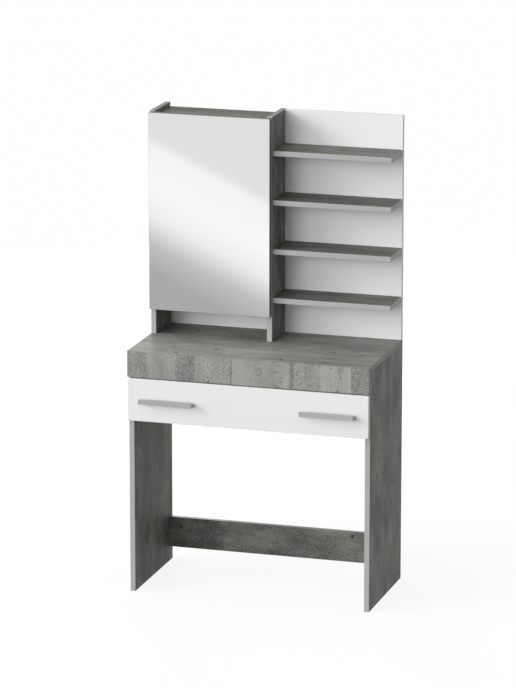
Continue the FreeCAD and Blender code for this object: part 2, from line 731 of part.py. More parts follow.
hinge_cups = []
hinge_pins = []
hinge_arms = []
hinge_plates = []
hinge_screws = []
cup_screws = []
cup_x = f"({door_left} + cup_rim + cup_radius)"
plate_thickness = "(door_reveal + pin_inset + neck_offset - board)"
plate_front = f"({hutch_front} + plate_setback)"
for z in hinge_heights:
    cup_floor = (cup_x, f"{door_back} - cup_depth", z)
    bowl = rod("cup_bowl", "cup_radius", "cup_depth", cup_floor, "y")
    flange_corner = (f"{cup_x} - flange_width / 2", door_back, f"{z} - flange_height / 2")
    flange = box("cup_flange", ("flange_width", "flange_thickness", "flange_height"), flange_corner)
    hollow = rod("cup_hollow", "cup_radius - cup_wall", "cup_depth - cup_wall + flange_thickness",
                 moved(cup_floor, "y", "cup_wall"), "y")
    hinge_cups.append(cut("hinge_cup", fused("cup_blank", [bowl, flange]), [hollow]))
    hole_start = moved(cup_floor, "y", "-fit")
    bore(rod("cup_hole", "cup_radius + fit", "cup_depth + fit", hole_start, "y"), "door_board")
    for spread in ("-cup_screw_spread", "cup_screw_spread"):
        spot = (cup_x, f"{door_back} + flange_thickness", f"{z} + {spread}")
        cup_screws.append(screw("screw", spot, "y", -1, "screw_length"))

    pin_start = (pin_x, pin_y, f"{z} - hinge_pin_length / 2")
    hinge_pins.append(rod("hinge_pin", "hinge_pin_radius", "hinge_pin_length", pin_start, "z"))

    arm_bottom = f"{z} - arm_width / 2"
    arm_front = f"{pin_y} - arm_thickness / 2"
    foot = box("arm_foot", ("neck_offset + arm_thickness", "arm_thickness", "arm_width"),
               (pin_x, arm_front, arm_bottom))
    neck_length = f"{plate_front} + plate_length - ({arm_front})"
    neck = box("arm_neck", ("arm_thickness", neck_length, "arm_width"),
               (f"{pin_x} + neck_offset", arm_front, arm_bottom))
    knuckle_start = (pin_x, pin_y, arm_bottom)
    knuckle = rod("knuckle", "knuckle_radius", "arm_width", knuckle_start, "z")
    eye = rod("knuckle_eye", "hinge_pin_radius + running_fit", "arm_width", knuckle_start, "z")
    hinge_arms.append(cut("hinge_arm", fused("arm_blank", [foot, neck, knuckle]), [eye]))

    plate_corner = (inner_left, plate_front, f"{z} - plate_height / 2")
    hinge_plates.append(box("hinge_plate", (plate_thickness, "plate_length", "plate_height"), plate_corner))
    for spread in ("-hinge_screw_spread", "hinge_screw_spread"):
        spot = (f"{inner_left} + {plate_thickness}", f"{plate_front} + plate_length / 2", f"{z} + {spread}")
        hinge_screws.append(screw("screw", spot, "x", -1, "screw_length"))
group("hinge_cups", hinge_cups)
group("hinge_pins", hinge_pins)
group("hinge_arms", hinge_arms)
group("hinge_plates", hinge_plates)
group("hinge_screws", hinge_screws)
group("cup_screws", cup_screws)

# Soft bumpers on the free edge of the door

bumper_x = f"{door_left} + {door_width} - bumper_inset"
bumpers = []
for z in (f"{door_bottom} + bumper_inset", f"{door_bottom} + door_height - bumper_inset"):
    bumpers.append(rod("bumper", "bumper_radius", "bumper_height", (bumper_x, door_back, z), "y"))
group("door_bumpers", bumpers)

# Drill the boards and gather the fittings

for label, blank in blanks.items():
    finished(label, cut(label, blank, bores[label]) if label in bores else blank)
group("dowels", dowels)
group("cam_discs", table_cams["discs"])
group("cam_bolts", table_cams["bolts"])
group("cam_covers", table_cams["covers"])
group("drawer_cam_discs", drawer_cams["discs"])
group("drawer_cam_bolts", drawer_cams["bolts"])

doc.recompute()

# Check every object, then write one file for each piece

for item in doc.Objects:
    if "Invalid" in item.State or "Error" in item.State:
        raise RuntimeError(f"{item.Name} failed: {item.State}")
for label, item in pieces.items():
    if item.Shape.isNull() or not item.Shape.isValid():
        raise RuntimeError(f"{label} has no valid shape")

os.makedirs("parts", exist_ok=True)
for label, item in pieces.items():
    item.Shape.exportStep(f"parts/{label}.step")
print(len(pieces), "pieces written")
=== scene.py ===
import itertools
import math

import bmesh
import bpy
from mathutils import Matrix, Vector


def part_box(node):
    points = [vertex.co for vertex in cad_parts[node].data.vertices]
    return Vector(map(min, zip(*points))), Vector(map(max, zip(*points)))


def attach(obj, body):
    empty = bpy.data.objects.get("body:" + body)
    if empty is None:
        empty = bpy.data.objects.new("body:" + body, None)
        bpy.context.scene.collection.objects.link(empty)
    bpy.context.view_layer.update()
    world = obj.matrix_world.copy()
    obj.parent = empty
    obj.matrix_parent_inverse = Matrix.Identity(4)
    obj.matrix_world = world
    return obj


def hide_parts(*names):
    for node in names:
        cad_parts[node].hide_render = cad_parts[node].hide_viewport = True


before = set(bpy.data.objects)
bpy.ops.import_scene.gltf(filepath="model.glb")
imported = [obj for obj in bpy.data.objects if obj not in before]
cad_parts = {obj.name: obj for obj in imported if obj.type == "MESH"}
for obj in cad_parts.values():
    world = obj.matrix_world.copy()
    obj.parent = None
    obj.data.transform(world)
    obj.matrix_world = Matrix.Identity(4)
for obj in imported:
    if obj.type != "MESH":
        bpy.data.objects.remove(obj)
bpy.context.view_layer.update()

# Legs
# Two full-depth chipboard panels carry the table. A foil printed like shuttered concrete covers
# both faces, thin grey strips are glued to the upright edges, and the ends are left as sawn.
MM = 0.001
ALONG_X, ALONG_Y, ALONG_Z = range(3)
FACE, EDGE, RAW, REAR, CAP = range(5)
FOIL_MAP = "foil"
SHEET_STEP = (0.731, 0.413)
EDGE_ROUNDING = 0.8 * MM
EDGE_STEPS = 2
SQUARE_ON = 0.04
RAGGED_PER_METRE = 40.0


class Finish:
    """One surface finish: a material whose colour, gloss and relief are built up from patterns."""

    def __init__(self, name, foil_map=None):
        self.material = bpy.data.materials.new(name)
        self.material.use_nodes = True
        self.tree = self.material.node_tree
        self.tree.nodes.clear()
        output = self.tree.nodes.new("ShaderNodeOutputMaterial")
        self.surface = self.tree.nodes.new("ShaderNodeBsdfPrincipled")
        self.join(self.surface.outputs["BSDF"], output.inputs["Surface"])
        if foil_map:
            source = self.tree.nodes.new("ShaderNodeUVMap")
            source.uv_map = foil_map
            self.place = source.outputs["UV"]
        else:
            self.place = self.tree.nodes.new("ShaderNodeTexCoord").outputs["Object"]

    def join(self, source, target):
        self.tree.links.new(source, target)

    def spread(self, per_metre):
        """The place on the surface, counted in pattern steps per metre along each axis."""
        mapping = self.tree.nodes.new("ShaderNodeMapping")
        mapping.inputs["Scale"].default_value = per_metre
        self.join(self.place, mapping.inputs["Vector"])
        return mapping.outputs["Vector"]

    def clouds(self, per_metre, detail=2.0, grit=0.5):
        """A cloudy pattern around one half."""
        texture = self.tree.nodes.new("ShaderNodeTexNoise")
        texture.inputs["Scale"].default_value = 1.0
        texture.inputs["Detail"].default_value = detail
        texture.inputs["Roughness"].default_value = grit
        self.join(self.spread(per_metre), texture.inputs["Vector"])
        return texture.outputs[0]

    def shaken(self, place, ragged):
        """A place pushed about a little, which makes the outline of a pattern ragged."""
        noise = self.tree.nodes.new("ShaderNodeTexNoise")
        noise.inputs["Scale"].default_value = RAGGED_PER_METRE
        noise.inputs["Detail"].default_value = 6.0
        noise.inputs["Roughness"].default_value = 0.65
        self.join(self.place, noise.inputs["Vector"])
        shake = self.tree.nodes.new("ShaderNodeVectorMath")
        shake.operation = "MULTIPLY_ADD"
        self.join(noise.outputs["Color"], shake.inputs[0])
        shake.inputs[1].default_value = (ragged, ragged, ragged)
        self.join(place, shake.inputs[2])
        return shake.outputs[0]

    def spots(self, per_metre, ragged=0.0, dimensions="3D"):
        """Scattered points: the distance to the nearest one, and a number of its own for each."""
        texture = self.tree.nodes.new("ShaderNodeTexVoronoi")
        texture.voronoi_dimensions = dimensions
        texture.inputs["Scale"].default_value = 1.0
        place = self.spread(per_metre)
        self.join(self.shaken(place, ragged) if ragged else place, texture.inputs["Vector"])
        parts = self.tree.nodes.new("ShaderNodeSeparateColor")
        self.join(texture.outputs["Color"], parts.inputs["Color"])
        return texture.outputs["Distance"], parts.outputs["Red"]

    def level(self, source, low, high, bottom=0.0, top=1.0):
        """Stretches a pattern's range low to high over bottom to top."""
        stretch = self.tree.nodes.new("ShaderNodeMapRange")
        stretch.inputs["From Min"].default_value = low
        stretch.inputs["From Max"].default_value = high
        stretch.inputs["To Min"].default_value = bottom
        stretch.inputs["To Max"].default_value = top
        self.join(source, stretch.inputs["Value"])
        return stretch.outputs["Result"]

    def combine(self, operation, first, second):
        step = self.tree.nodes.new("ShaderNodeMath")
        step.operation = operation
        for socket, value in zip(step.inputs, (first, second)):
            if isinstance(value, bpy.types.NodeSocket):
                self.join(value, socket)
            else:
                socket.default_value = value
        return step.outputs["Value"]

    def total(self, *shares):
        """The sum of several patterns, each taken as a share around zero."""
        result = None
        for pattern, share in shares:
            part = self.level(pattern, 0.0, 1.0, -share / 2, share / 2)
            result = part if result is None else self.combine("ADD", result, part)
        return result

    def blend(self, *shares):
        """Several patterns added up around one half."""
        return self.combine("ADD", 0.5, self.total(*shares))

    def tones(self, source, *stops):
        """Colours along a pattern, each stop a place and a colour."""
        ramp = self.tree.nodes.new("ShaderNodeValToRGB")
        marks = ramp.color_ramp.elements
        while len(marks) < len(stops):
            marks.new(1.0)
        for mark, (position, colour) in zip(marks, stops):
            mark.position = position
            mark.color = (*colour, 1.0)
        self.join(source, ramp.inputs["Fac"])
        return ramp.outputs["Color"]

    def shades(self, source, colour, dark, light):
        """One colour, made darker and lighter along a pattern."""
        darker, lighter = (tuple(part * share for part in colour) for share in (dark, light))
        return self.tones(source, (0.25, darker), (0.75, lighter))

    def over(self, share, below, colour):
        """One colour laid over another where share is high."""
        mix = self.tree.nodes.new("ShaderNodeMix")
        mix.data_type = "RGBA"
        factor, first, second = (mix.inputs[i] for i in (0, 6, 7))
        self.join(share, factor)
        self.join(below, first)
        second.default_value = (*colour, 1.0)
        return mix.outputs[2]

    def relief(self, height, depth, strength):
        bump = self.tree.nodes.new("ShaderNodeBump")
        bump.inputs["Distance"].default_value = depth
        bump.inputs["Strength"].default_value = strength
        self.join(height, bump.inputs["Height"])
        self.join(bump.outputs["Normal"], self.surface.inputs["Normal"])

    def wear(self, colour=None, roughness=None, **fixed):
        """Sets what the surface shows: patterns for colour and roughness, plain values for the rest."""
        for name, value in (("Base Color", colour), ("Roughness", roughness)):
            if isinstance(value, bpy.types.NodeSocket):
                self.join(value, self.surface.inputs[name])
            elif value is not None:
                self.surface.inputs[name].default_value = value
        for name, value in fixed.items():
            self.surface.inputs[name.replace("_", " ")].default_value = value
        return self.material


NEUTRAL = (1.0, 1.005, 0.938)
DRAB = (1.0, 1.005, 0.905)
WARM = (1.02, 0.990, 0.885)
PRINT_RAGGED = 0.22
PLANK_SPREAD = (0.7, 14.0, 1.0)
CLOUD_SPREAD = (3.5, 7.0, 1.0)
SPONGE_SPREAD = (150.0, 180.0, 1.0)
STREAK_SPREAD = (7.0, 240.0, 1.0)
SCUFF_SPREAD = (15.0, 34.0, 1.0)
HATCH_SPREAD = (140.0, 24.0, 1.0)
HATCHED_SPREAD = (5.0, 16.0, 1.0)
FINE_PORE_SPREAD = (36.0, 62.0, 1.0)
FINE_PORE_SHARE = 0.2
PORE_LEAST, PORE_MOST = 0.03, 0.08
PORE_RIM = 0.02
SHARP_STEP = 0.001
PLANK_SHARE = 0.34
CLOUD_SHARE = 0.32
STREAK_SHARE = 0.13
SMOOTHING = 0.65
HATCH_COVER = 0.5
PORE_COVER = 0.9
DARK_PRINT, LIGHT_PRINT = 0.44, 1.58
GRIME_TONE = 0.50
SCUFF_TONE = 1.85
HATCH_TONE = 0.42
PORE_TONE = 0.14
PRINT_DEPTH = 0.25 * MM


def pores_of(finish, per_metre, share, most):
    """Open pores up to the most radius, in steps, at a share of scattered points."""
    distance, chance = finish.spots(per_metre, ragged=PRINT_RAGGED, dimensions="2D")
    radius = finish.level(chance, 1.0 - share, 1.0, PORE_LEAST, most)
    open_here = finish.level(chance, 1.0 - share, 1.0 - share + SHARP_STEP)
    depth = finish.combine("SUBTRACT", radius, distance)
    return finish.combine("MULTIPLY", open_here, finish.level(depth, 0.0, PORE_RIM))


def make_concrete_foil(name, shade, planks=1.0, blots=0.24, blot_spread=(8.0, 21.0, 1.0), mottling=0.44,
                       scuffs=0.0, pores=0.5, pore_spread=(11.0, 19.0, 1.0), pore_most=PORE_MOST,
                       tinge=DRAB):
    """Printed shuttered concrete of one shade, with the strength of each kind of mark.

    A spread counts marks per metre along the grain and across it.
    """
    finish = Finish(name, FOIL_MAP)

    def tint(share):
        return tuple(shade * share * part for part in tinge)

    plank = finish.spots(PLANK_SPREAD, ragged=PRINT_RAGGED)[1]
    smooth = finish.level(plank, 0.66, 0.72)
    drift = finish.level(finish.clouds(CLOUD_SPREAD, detail=4.0, grit=0.6), 0.32, 0.68)
    patches = finish.level(finish.clouds(blot_spread, detail=8.0, grit=0.68), 0.34, 0.66)
    sponge = finish.level(finish.clouds(SPONGE_SPREAD, detail=4.0, grit=0.7), 0.36, 0.64)
    streaks = finish.level(finish.clouds(STREAK_SPREAD, detail=3.0), 0.32, 0.68)
    mottle = finish.combine("MULTIPLY", finish.total((sponge, mottling)),
                            finish.level(smooth, 0.0, 1.0, 1.0, 1.0 - SMOOTHING * planks))
    tone = finish.combine("ADD", mottle, finish.blend(
        (plank, PLANK_SHARE * planks),
        (patches, blots),
        (drift, CLOUD_SHARE),
        (streaks, STREAK_SHARE * planks),
    ))
    colour = finish.tones(tone, (0.0, tint(DARK_PRINT)), (0.5, tint(1.0)), (1.0, tint(LIGHT_PRINT)))
    grime = finish.combine("MULTIPLY", finish.level(plank, 0.30, 0.24, 0.0, planks),
                           finish.level(sponge, 0.75, 0.25, 0.15, 0.75))
    colour = finish.over(grime, colour, tint(GRIME_TONE))
    if scuffs:
        rubbed = finish.level(patches, 0.42, 0.78, 0.0, scuffs)
        marks = finish.level(finish.clouds(SCUFF_SPREAD, detail=5.0, grit=0.6), 0.54, 0.62)
        colour = finish.over(finish.combine("MULTIPLY", rubbed, marks), colour, tint(SCUFF_TONE))
    hatched = finish.level(finish.clouds(HATCHED_SPREAD, detail=2.0), 0.62, 0.66, 0.0, HATCH_COVER)
    lines = finish.level(finish.clouds(HATCH_SPREAD, detail=1.0), 0.57, 0.64)
    colour = finish.over(finish.combine("MULTIPLY", lines, hatched), colour, tint(HATCH_TONE))
    pore = finish.combine("MAXIMUM", pores_of(finish, pore_spread, pores, pore_most),
                          pores_of(finish, FINE_PORE_SPREAD, FINE_PORE_SHARE, PORE_MOST))
    colour = finish.over(finish.combine("MULTIPLY", pore, PORE_COVER), colour, tint(PORE_TONE))
    relief = finish.combine("SUBTRACT", finish.combine("MULTIPLY", sponge, 0.15), pore)
    finish.relief(relief, PRINT_DEPTH, 0.6)
    return finish.wear(colour, finish.level(sponge, 0.0, 1.0, 0.52, 0.64), Specular_IOR_Level=0.3)


def make_edging(name, colour):
    finish = Finish(name)
    speckle = finish.clouds((900.0, 900.0, 900.0), detail=1.0)
    drift = finish.clouds((6.0, 6.0, 6.0))
    finish.relief(speckle, 0.04 * MM, 0.4)
    return finish.wear(finish.shades(finish.blend((speckle, 0.3), (drift, 0.5)), colour, 0.93, 1.07),
                       finish.level(speckle, 0.3, 0.7, 0.46, 0.56))


def make_chipboard():
    finish = Finish("chipboard")
    distance, chance = finish.spots((420.0, 420.0, 420.0))
    fibres = finish.clouds((1500.0, 1500.0, 1500.0), detail=3.0)
    colour = finish.tones(
        finish.blend((chance, 0.6), (fibres, 0.5)),
        (0.15, (0.230, 0.150, 0.080)),
        (0.50, (0.420, 0.300, 0.180)),
        (0.85, (0.580, 0.450, 0.300)),
    )
    finish.relief(distance, 0.3 * MM, 0.5)
    return finish.wear(colour, finish.level(fibres, 0.3, 0.7, 0.80, 0.95))


upright_foil = make_concrete_foil("upright_foil", 0.167, planks=0.30, blots=1.2,
                                  blot_spread=(6.0, 12.0, 1.0), mottling=0.8, scuffs=0.9, pores=1.0,
                                  pore_spread=(16.0, 12.0, 1.0), pore_most=0.10, tinge=WARM)
grey_edging = make_edging("grey_edging", (0.418, 0.413, 0.417))
chipboard = make_chipboard()


def keep(piece, body, slot, *nodes):
    """Lets a finished piece stand for its CAD nodes and move with their body. The slot is not used."""
    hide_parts(*nodes)
    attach(piece, body)
    return piece


def as_object(name, shape, materials):
    mesh = bpy.data.meshes.new(name)
    shape.to_mesh(mesh)
    shape.free()
    for material in materials:
        mesh.materials.append(material)
    piece = bpy.data.objects.new(name, mesh)
    bpy.context.scene.collection.objects.link(piece)
    return piece


def block(low, high):
    shape = bmesh.new()
    bmesh.ops.create_cube(shape, size=1.0)
    bmesh.ops.scale(shape, vec=high - low, verts=shape.verts)
    bmesh.ops.translate(shape, vec=(low + high) / 2, verts=shape.verts)
    return shape


def rounded_block(low, high, rounding=EDGE_ROUNDING, steps=EDGE_STEPS):
    shape = block(low, high)
    bmesh.ops.bevel(shape, geom=shape.edges[:], offset=rounding, segments=steps, profile=0.5,
                    affect="EDGES")
    return shape


def sides_of(face):
    """The sides a face looks to, such as -y: one where it is flat, and more on a rounding."""
    return [("-" if part < 0 else "+") + axis
            for axis, part in zip("xyz", face.normal) if abs(part) > SQUARE_ON]


sheets = itertools.count(1)


def board(name, node, grain, face, edge, rear=None, cap=None, raw=()):
    """A board with foil laid along the grain on both faces, and strips on all but the raw edges."""
    low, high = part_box(node)
    size = high - low
    shape = rounded_block(low, high)
    thin = min(range(3), key=lambda i: size[i])
    across = 3 - thin - grain
    foil_map = shape.loops.layers.uv.new(FOIL_MAP)
    sheet = next(sheets)
    front_side, rear_side = ("-" + "xyz"[thin], "+" + "xyz"[thin])
    for part in shape.faces:
        sides = sides_of(part)
        part.smooth = len(sides) > 1
        bare = any(side in raw for side in sides)
        if (front_side in sides or rear_side in sides) and (bare or not part.smooth):
            part.material_index = FACE if front_side in sides else REAR
        elif bare and not part.smooth:
            part.material_index = RAW
        else:
            part.material_index = CAP if sides == ["+z"] else EDGE
        for corner in part.loops:
            point = corner.vert.co
            corner[foil_map].uv = (point[grain] + sheet * SHEET_STEP[0],
                                   point[across] + point[thin] + sheet * SHEET_STEP[1])
    return as_object(name, shape, (face, edge, chipboard, rear or face, cap or edge))


def panel(name, node, body, slot, *looks, **more):
    return keep(board(name, node, *looks, **more), body, slot, node)


SIDES = ("left", "right")
for side in SIDES:
    panel(f"{side}_leg_panel", f"{side}_leg", "table", "grey_laminate", ALONG_Z, upright_foil,
          grey_edging, raw=("-z", "+z"))

# Glides
# Four dark plastic glides keep the sawn foot off the floor. Each is a moulded button with a
# rounded rim, hammered into the end of a leg by the pin on its back.
PROFILE_SIZES = ("Head Radius", "Shank Radius", "Head Height", "Shank Length")
RECESS_SIZES = ("Recess Width", "Recess Depth")
TURNED_SIDES = 28
HEXAGON = 6
CROSS_SLIMNESS = 4.0
SMOOTH_BELOW = math.radians(35)
SAME_POINT = 0.001 * MM
OUTWARD = "outward"


class Geometry:
    """A tree of Geometry Nodes, put together node by node."""

    def __init__(self, name):
        self.tree = bpy.data.node_groups.new(name, "GeometryNodeTree")

    def add(self, kind, settings=(), **inputs):
        """A node with its settings; each input is a plain value or the output of another node."""
        node = self.tree.nodes.new(kind)
        for key, value in dict(settings).items():
            setattr(node, key, value)
        for key, value in inputs.items():
            numbered = key[1:].isdigit()
            socket = node.inputs[int(key[1:]) if numbered else key.replace("_", " ")]
            if isinstance(value, bpy.types.NodeSocket):
                self.tree.links.new(value, socket)
            else:
                socket.default_value = value
        return node

    def compute(self, operation, first, second):
        return self.add("ShaderNodeMath", {"operation": operation}, i0=first, i1=second).outputs[0]

    def vector(self, **parts):
        return self.add("ShaderNodeCombineXYZ", **parts).outputs[0]

    def pick(self, index, values):
        """The one of several values that an index points to."""
        choice = self.add("GeometryNodeIndexSwitch", {"data_type": "FLOAT"}, Index=index)
        while len(choice.index_switch_items) < len(values):
            choice.index_switch_items.new()
        for count, value in enumerate(values):
            choice.inputs[count + 1].default_value = value
        return choice.outputs[0]


def turned_shape(nodes, profile, sizes):
    """A cylinder drawn to a profile: each row is a ring, in shares of the head and shank sizes."""
    rings = len(profile) - 1
    blank = nodes.add("GeometryNodeMeshCylinder", Vertices=TURNED_SIDES, Side_Segments=rings,
                      Radius=1.0, Depth=1.0)
    position = nodes.add("GeometryNodeInputPosition").outputs[0]
    place = nodes.add("ShaderNodeSeparateXYZ", Vector=position).outputs
    along = nodes.compute("MULTIPLY", nodes.compute("ADD", place["Z"], 0.5), float(rings))
    ring = nodes.add("FunctionNodeFloatToInt", {"rounding_mode": "ROUND"}, Float=along).outputs[0]
    head_radius, shank_radius, head_height, shank_length = (
        nodes.compute("MULTIPLY", nodes.pick(ring, shares), sizes[size])
        for size, shares in zip(PROFILE_SIZES, zip(*profile)))
    radius = nodes.compute("ADD", head_radius, shank_radius)
    target = nodes.vector(X=nodes.compute("MULTIPLY", place["X"], radius),
                          Y=nodes.compute("MULTIPLY", place["Y"], radius),
                          Z=nodes.compute("ADD", head_height, shank_length))
    drawn = nodes.add("GeometryNodeSetPosition", Geometry=blank.outputs["Mesh"], Position=target)
    return drawn.outputs[0]


def recessed(nodes, shape, recess, sizes):
    """A turned shape with a hexagon or a cross sunk into its head."""
    wide = sizes["Recess Width"]
    deep = nodes.compute("MULTIPLY", sizes["Recess Depth"], 2.0)
    if recess == "hexagon":
        cutters = [nodes.add("GeometryNodeMeshCylinder", Vertices=HEXAGON, Radius=wide, Depth=deep)]
    else:
        slim = nodes.compute("DIVIDE", wide, CROSS_SLIMNESS)
        cutters = [nodes.add("GeometryNodeMeshCube", Size=nodes.vector(X=x, Y=y, Z=deep))
                   for x, y in ((wide, slim), (slim, wide))]
    top = nodes.vector(Z=sizes["Head Height"])
    for cutter in cutters:
        raised = nodes.add("GeometryNodeTransform", Geometry=cutter.outputs["Mesh"], Translation=top)
        shape = nodes.add("GeometryNodeMeshBoolean", {"operation": "DIFFERENCE", "solver": "EXACT"},
                          Mesh_1=shape, Mesh_2=raised.outputs[0]).outputs["Mesh"]
    return shape


def turned_tree(name, profile, finish, recess=None):
    """Turned fittings on points, all of one profile and finish, some with a recess in the head."""
    nodes = Geometry(name)
    interface = nodes.tree.interface
    interface.new_socket("Places", in_out="INPUT", socket_type="NodeSocketGeometry")
    for size in PROFILE_SIZES + RECESS_SIZES:
        interface.new_socket(size, in_out="INPUT", socket_type="NodeSocketFloat")
    interface.new_socket("Fittings", in_out="OUTPUT", socket_type="NodeSocketGeometry")
    start = nodes.add("NodeGroupInput").outputs
    shape = turned_shape(nodes, profile, start)
    if recess:
        shape = recessed(nodes, shape, recess, start)
    angle = nodes.add("GeometryNodeInputMeshEdgeAngle").outputs["Unsigned Angle"]
    gentle = nodes.compute("LESS_THAN", angle, SMOOTH_BELOW)
    shape = nodes.add("GeometryNodeSetShadeSmooth", {"domain": "FACE"}, Geometry=shape).outputs[0]
    shape = nodes.add("GeometryNodeSetShadeSmooth", {"domain": "EDGE"}, Geometry=shape,
                      Shade_Smooth=gentle).outputs[0]
    facing = nodes.add("GeometryNodeInputNamedAttribute", {"data_type": "FLOAT_VECTOR"}, Name=OUTWARD)
    turn = nodes.add("FunctionNodeAlignRotationToVector", {"axis": "Z"},
                     Vector=facing.outputs["Attribute"])
    placed = nodes.add("GeometryNodeInstanceOnPoints", Points=start["Places"], Instance=shape,
                       Rotation=turn.outputs[0])
    real = nodes.add("GeometryNodeRealizeInstances", Geometry=placed.outputs[0])
    finished = nodes.add("GeometryNodeSetMaterial", Geometry=real.outputs[0], Material=finish)
    nodes.add("NodeGroupOutput", Fittings=finished.outputs[0])
    return nodes.tree


def shells_of(node):
    """The lowest and highest corner of each separate solid in a CAD node."""
    shape = bmesh.new()
    shape.from_mesh(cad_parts[node].data)
    bmesh.ops.remove_doubles(shape, verts=shape.verts, dist=SAME_POINT)
    waiting = set(shape.verts)
    shells = []
    while waiting:
        reached = [waiting.pop()]
        for vertex in reached:
            linked = {edge.other_vert(vertex) for edge in vertex.link_edges} & waiting
            waiting -= linked
            reached.extend(linked)
        points = [vertex.co for vertex in reached]
        shells.append((Vector(map(min, *points)), Vector(map(max, *points))))
    shape.free()
    return sorted(shells, key=lambda shell: tuple(shell[0]))


def settle(piece):
    """Makes what a piece's modifiers show its own mesh."""
    evaluated = piece.evaluated_get(bpy.context.evaluated_depsgraph_get())
    made = bpy.data.meshes.new_from_object(evaluated)
    piece.modifiers.clear()
    piece.data = made


def fittings(name, node, body, slot, tree, facing, head, **sizes):
    """Turned fittings in the places of a CAD node's solids; facing gives the way each head looks."""
    points = []
    ways = []
    for low, high in shells_of(node):
        centre = (low + high) / 2
        way = Vector(facing(centre))
        axis = max(range(3), key=lambda i: abs(way[i]))
        size = high - low
        centre[axis] += way[axis] * (size[axis] / 2 - head)
        points.append(centre)
        ways.append(way)
        sizes["Shank Length"] = size[axis] - head
        sizes["Head Radius"] = size[(axis + 1) % 3] / 2
    sizes["Head Height"] = head
    mesh = bpy.data.meshes.new(name)
    mesh.from_pydata(points, [], [])
    directions = mesh.attributes.new(OUTWARD, "FLOAT_VECTOR", "POINT")
    directions.data.foreach_set("vector", [value for way in ways for value in way])
    piece = bpy.data.objects.new(name, mesh)
    bpy.context.scene.collection.objects.link(piece)
    modifier = piece.modifiers.new("fittings", "NODES")
    modifier.node_group = tree
    for socket in tree.interface.items_tree:
        if socket.name in sizes:
            modifier[socket.identifier] = sizes[socket.name]
    settle(piece)
    return keep(piece, body, slot, node)


def make_moulded_plastic(name, colour, roughness):
    finish = Finish(name)
    grain = finish.clouds((1400.0, 1400.0, 1400.0), detail=2.0)
    drift = finish.clouds((60.0, 60.0, 60.0))
    finish.relief(grain, 0.03 * MM, 0.5)
    return finish.wear(finish.shades(finish.blend((grain, 0.4), (drift, 0.4)), colour, 0.90, 1.06),
                       finish.level(grain, 0.3, 0.7, roughness - 0.06, roughness + 0.06))


BUTTON = ((0, 0.3, 0, -1), (0, 0.9, 0, -0.85), (0, 1, 0, -0.1), (0.9, 0, 0, 0), (1, 0, 0.25, 0),
          (1, 0, 0.55, 0), (0.93, 0, 0.85, 0), (0.8, 0, 1, 0), (0.2, 0, 1, 0))
BUTTON_HEIGHT = 2 * MM
BUTTON_PIN = 2.4 * MM
glide_plastic = make_moulded_plastic("glide_plastic", (0.022, 0.022, 0.024), 0.45)
fittings("leg_glides", "glide_feet", "table", "dark_plastic",
         turned_tree("glides", BUTTON, glide_plastic),
         lambda centre: (0, 0, -1), BUTTON_HEIGHT, **{"Shank Radius": BUTTON_PIN})

# Stretcher and rear apron
# Two boards between the legs hold them square: a low one near the floor and a deep one behind the
# drawer. Cam bolts and dowels in their ends draw them to the legs.
# The brace foil is a darker shade of the print: painted shade, standing in for the shade under the
# desk.
painted_shade_brace_foil = make_concrete_foil("painted_shade_brace_foil", 0.150, planks=0.45, blots=1.0,
                                blot_spread=(7.0, 13.0, 1.0), mottling=1.1, scuffs=0.5, pores=0.5,
                                pore_spread=(9.0, 11.0, 1.0))
dull_edging = make_edging("dull_edging", (0.264, 0.261, 0.260))
panel("stretcher_panel", "stretcher", "table", "grey_laminate", ALONG_X, painted_shade_brace_foil, dull_edging,
      raw=("-x", "+x"))
panel("rear_apron_panel", "rear_apron", "table", "grey_laminate", ALONG_X, painted_shade_brace_foil, dull_edging,
      raw=("-x", "+x", "+z"))

# Desk top
# One board lies on the legs and the apron with its print running from side to side. Its front
# edge is hidden by the fascia, so it carries no strip there.
# The desk's foil is a lighter shade of the print: painted light, standing in for light from above.
painted_light_desk_foil = make_concrete_foil("painted_light_desk_foil", 0.256, planks=0.45, blots=0.45, mottling=0.65, pores=0.6,
                               pore_spread=(9.0, 11.0, 1.0))
print_edging = make_edging("print_edging", (0.158, 0.154, 0.143))
panel("desk_top_panel", "desk_top", "table", "grey_laminate", ALONG_X, painted_light_desk_foil, print_edging,
      raw=("-y",))

# Fascia
# A tall front rail is dowelled over the ends of the legs and the edge of the desk top. Its print
# runs upright, so the shuttering marks show as bands across its length.
fascia_foil = make_concrete_foil("fascia_foil", 0.296, mottling=0.6, tinge=NEUTRAL)
panel("fascia_panel", "fascia", "table", "grey_laminate", ALONG_Z, fascia_foil, print_edging,
      cap=dull_edging)

# Hutch uprights
# The left side and the partition stand on the desk top and frame the mirror cabinet. They have
# the legs' foil and edge strip, and a duller strip on top, a little above the cabinet's top board.
for node in ("left_upright", "partition"):
    panel(node + "_panel", node, "table", "grey_laminate", ALONG_Z, upright_foil, grey_edging,
          cap=dull_edging, raw=("-z",))

# Cabinet boards
# The top and the floor of the cabinet are fixed between the uprights with cams and dowels. Two
# loose shelves lie on pegs between them, behind the door.
shelf_foil = make_concrete_foil("shelf_foil", 0.145, planks=0.45, blots=0.60, mottling=0.8, pores=0.3)
for node in ("cabinet_top", "cabinet_floor"):
    panel(node + "_panel", node, "table", "grey_laminate", ALONG_X, shelf_foil, grey_edging,
          raw=("-x", "+x"))
for node in ("inner_shelf_1", "inner_shelf_2"):
    panel(node + "_panel", node, "table", "grey_laminate", ALONG_X, shelf_foil, grey_edging)

# Shelf pegs
# Eight plated steel pegs, pushed into bores in the uprights, carry the loose shelves. A collar
# stops each peg at the face of the board.


def make_plated_steel(name, colour, roughness):
    finish = Finish(name)
    bloom = finish.clouds((160.0, 160.0, 160.0), detail=3.0)
    grain = finish.clouds((2600.0, 2600.0, 2600.0), detail=1.0)
    finish.relief(grain, 0.02 * MM, 0.3)
    return finish.wear(finish.shades(finish.blend((bloom, 0.5), (grain, 0.3)), colour, 0.82, 1.06),
                       finish.level(bloom, 0.3, 0.7, roughness - 0.08, roughness + 0.08), Metallic=1.0)


